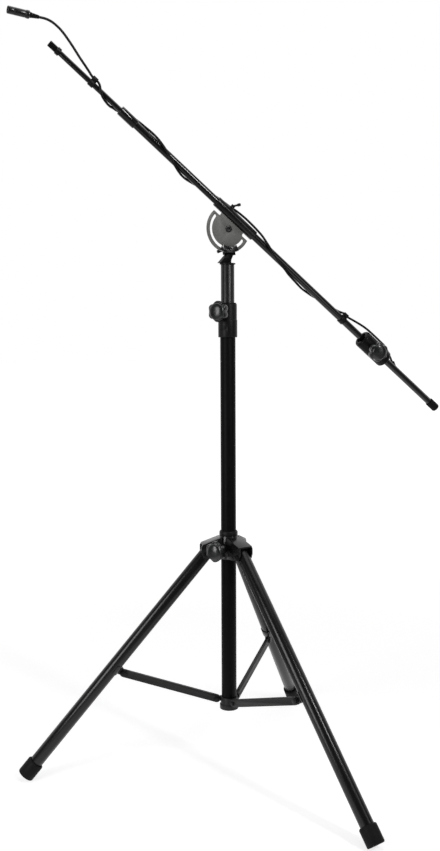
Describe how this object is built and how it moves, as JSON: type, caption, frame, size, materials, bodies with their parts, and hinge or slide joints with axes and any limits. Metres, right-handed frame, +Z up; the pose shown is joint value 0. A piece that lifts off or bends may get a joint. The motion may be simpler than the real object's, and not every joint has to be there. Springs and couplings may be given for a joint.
{
  "type": "overhead boom arm",
  "caption": "Studio overhead boom arm on a folding floor stand: tilting slotted clamp disc, telescoping boom with wound cable, sliding counterweight and threaded front stud.",
  "frame": {"origin": "floor level, at the middle of the box round the stand and boom without the cable", "axes": "+Z up along the column; +X towards the counterweight end of the boom, whose front end points to -X"},
  "size_m": [1.2384, 0.9308, 1.9213],
  "materials": {
    "satin_tube": "satin black powder coat",
    "cast_fitting": "semi-matt black enamel on castings and pressings",
    "moulded_black": "fine grained moulded nylon",
    "knob_black": "polished moulded knob",
    "plate_grey": "satin mid-grey enamel",
    "weight_iron": "black enamelled casting",
    "black_zinc": "black zinc plate",
    "rubber_black": "matt",
    "cable_jacket": "smooth soft jacket"
  },
  "bodies": {
    "column": {"column_tube": "satin_tube", "column_end_plug": "moulded_black", "bottom_collar": "cast_fitting", "clutch_housing": "moulded_black", "clutch_bush": "moulded_black", "brace_pin_left": "black_zinc", "brace_pin_right": "black_zinc", "brace_pin_rear": "black_zinc"},
    "hub": {"hub_body": "cast_fitting", "hub_bush": "moulded_black", "leg_pin_left": "black_zinc", "leg_pin_right": "black_zinc", "leg_pin_rear": "black_zinc"},
    "hub_knob": {"hub_lock_knob": "knob_black"},
    "mast_knob": {"mast_lock_knob": "knob_black"},
    "mast": {"mast_tube": "satin_tube", "mast_cap": "moulded_black", "mast_guide_bush": "moulded_black"},
    "head": {"swivel_neck": "cast_fitting", "pivot_bolt": "black_zinc", "pivot_nut": "black_zinc", "clamp_shoe": "cast_fitting"},
    "tilt_handle": {"tilt_clamp_handle": "black_zinc"},
    "pan_screw": {"pan_lock_screw": "black_zinc"},
    "cradle": {"tilt_disc": "plate_grey", "boom_sleeve": "satin_tube", "sleeve_bush": "moulded_black"},
    "sleeve_lever": {"sleeve_lock_lever": "black_zinc"},
    "boom": {"boom_tube": "satin_tube", "boom_end_cap": "rubber_black", "cable_clip_rear": "moulded_black", "cable_grommet": "rubber_black", "cable_rear_wrap": "cable_jacket", "cable_front_wrap": "cable_jacket", "front_clutch_bush": "moulded_black"},
    "front_clutch": {"front_clutch_collar": "moulded_black"},
    "front_arm": {"front_tube": "satin_tube", "mic_thread_stud": "black_zinc", "cable_clip_front": "moulded_black", "cable_lead": "cable_jacket", "cable_connector": "cast_fitting", "connector_boot": "rubber_black"},
    "counterweight": {"counterweight_body": "weight_iron"},
    "weight_knob": {"counterweight_knob": "knob_black"},
    "leg_left": {"leg_tube_left": "satin_tube", "foot_cap_left": "rubber_black", "leg_bracket_left": "cast_fitting", "brace_end_pin_left": "black_zinc"},
    "brace_left": {"brace_left": "satin_tube"},
    "leg_right": {"leg_tube_right": "satin_tube", "foot_cap_right": "rubber_black", "leg_bracket_right": "cast_fitting", "brace_end_pin_right": "black_zinc"},
    "brace_right": {"brace_right": "satin_tube"},
    "leg_rear": {"leg_tube_rear": "satin_tube", "foot_cap_rear": "rubber_black", "leg_bracket_rear": "cast_fitting", "brace_end_pin_rear": "black_zinc"},
    "brace_rear": {"brace_rear": "satin_tube"}
  },
  "joints": [
    {"name": "hub_slide", "type": "slide", "parent": "column", "child": "hub", "axis": [0, 0, 1], "range_m": [0, 0.14]},
    {"name": "hub_knob_turn", "type": "hinge", "parent": "hub", "child": "hub_knob", "pos_m": [-0.11298, 0.05686, 0.60732], "axis": [-0.8387, -0.5446, 0], "range_deg": [0, 360]},
    {"name": "leg_left_fold", "type": "hinge", "parent": "hub", "child": "leg_left", "pos_m": [-0.12991, 0.10356, 0.59132], "axis": [-0.314, -0.9494, 0], "range_deg": [0, 10.29]},
    {"name": "brace_left_fold", "type": "hinge", "parent": "column", "child": "brace_left", "pos_m": [-0.1019, 0.0943, 0.1915], "axis": [0.314, 0.9494, 0], "range_deg": [0, 26.17]},
    {"name": "leg_right_fold", "type": "hinge", "parent": "hub", "child": "leg_right", "pos_m": [-0.05847, 0.02338, 0.59132], "axis": [0.9792, 0.2028, 0], "range_deg": [0, 10.29]},
    {"name": "brace_right_fold", "type": "hinge", "parent": "column", "child": "brace_right", "pos_m": [-0.06445, 0.05227, 0.1915], "axis": [-0.9792, -0.2028, 0], "range_deg": [0, 26.17]},
    {"name": "leg_rear_fold", "type": "hinge", "parent": "hub", "child": "leg_rear", "pos_m": [-0.02475, 0.12534, 0.59132], "axis": [-0.6652, 0.7466, 0], "range_deg": [0, 10.29]},
    {"name": "brace_rear_fold", "type": "hinge", "parent": "column", "child": "brace_rear", "pos_m": [-0.04678, 0.10571, 0.1915], "axis": [0.6652, -0.7466, 0], "range_deg": [0, 26.17]},
    {"name": "mast_knob_turn", "type": "hinge", "parent": "column", "child": "mast_knob", "pos_m": [-0.0984, 0.06564, 1.229], "axis": [-0.829, -0.5592, 0], "range_deg": [0, 360]},
    {"name": "mast_slide", "type": "slide", "parent": "column", "child": "mast", "axis": [0, 0, 1], "range_m": [-0.09, 0.7]},
    {"name": "pan", "type": "hinge", "parent": "mast", "child": "head", "pos_m": [-0.07105, 0.08409, 1.3546], "axis": [0, 0, 1], "continuous": true},
    {"name": "tilt_handle_turn", "type": "hinge", "parent": "head", "child": "tilt_handle", "pos_m": [-0.07305, 0.07529, 1.392], "axis": [0, -1, 0], "range_deg": [0, 360]},
    {"name": "pan_screw_turn", "type": "hinge", "parent": "head", "child": "pan_screw", "pos_m": [-0.07105, 0.09809, 1.3626], "axis": [0, 1, 0], "range_deg": [0, 360]},
    {"name": "boom_tilt", "type": "hinge", "parent": "head", "child": "cradle", "pos_m": [-0.07305, 0.07529, 1.441], "axis": [0, 1, 0], "range_deg": [-108, 41]},
    {"name": "sleeve_lever_turn", "type": "hinge", "parent": "cradle", "child": "sleeve_lever", "pos_m": [-0.0639, 0.06911, 1.49628], "axis": [0.5734, -0.3746, 0.7286], "range_deg": [0, 75]},
    {"name": "boom_slide", "type": "slide", "parent": "cradle", "child": "boom", "axis": [0.7859, 0, -0.6184], "range_m": [-0.04, 0.04], "deforming": ["cable_rear_wrap", "cable_front_wrap"]},
    {"name": "front_clutch_turn", "type": "hinge", "parent": "boom", "child": "front_clutch", "pos_m": [-0.34291, 0.07529, 1.69637], "axis": [0.7859, 0, -0.6184], "range_deg": [0, 90]},
    {"name": "front_tube_slide", "type": "slide", "parent": "boom", "child": "front_arm", "axis": [0.7859, 0, -0.6184], "range_m": [-0.03, 0.05], "deforming": ["cable_front_wrap"]},
    {"name": "counterweight_slide", "type": "slide", "parent": "boom", "child": "counterweight", "axis": [0.7859, 0, -0.6184], "range_m": [-0.02, 0.006]},
    {"name": "weight_knob_turn", "type": "hinge", "parent": "counterweight", "child": "weight_knob", "pos_m": [0.36727, 0.04676, 1.12572], "axis": [-0.1911, -0.9511, -0.2428], "range_deg": [0, 360]}
  ],
  "couplings": [
    {"joint": "leg_left_fold", "follows": "hub_slide", "rad_per_m": 1.27},
    {"joint": "brace_left_fold", "follows": "hub_slide", "rad_per_m": 3.25},
    {"joint": "leg_right_fold", "follows": "hub_slide", "rad_per_m": 1.27},
    {"joint": "brace_right_fold", "follows": "hub_slide", "rad_per_m": 3.25},
    {"joint": "leg_rear_fold", "follows": "hub_slide", "rad_per_m": 1.27},
    {"joint": "brace_rear_fold", "follows": "hub_slide", "rad_per_m": 3.25}
  ]
}
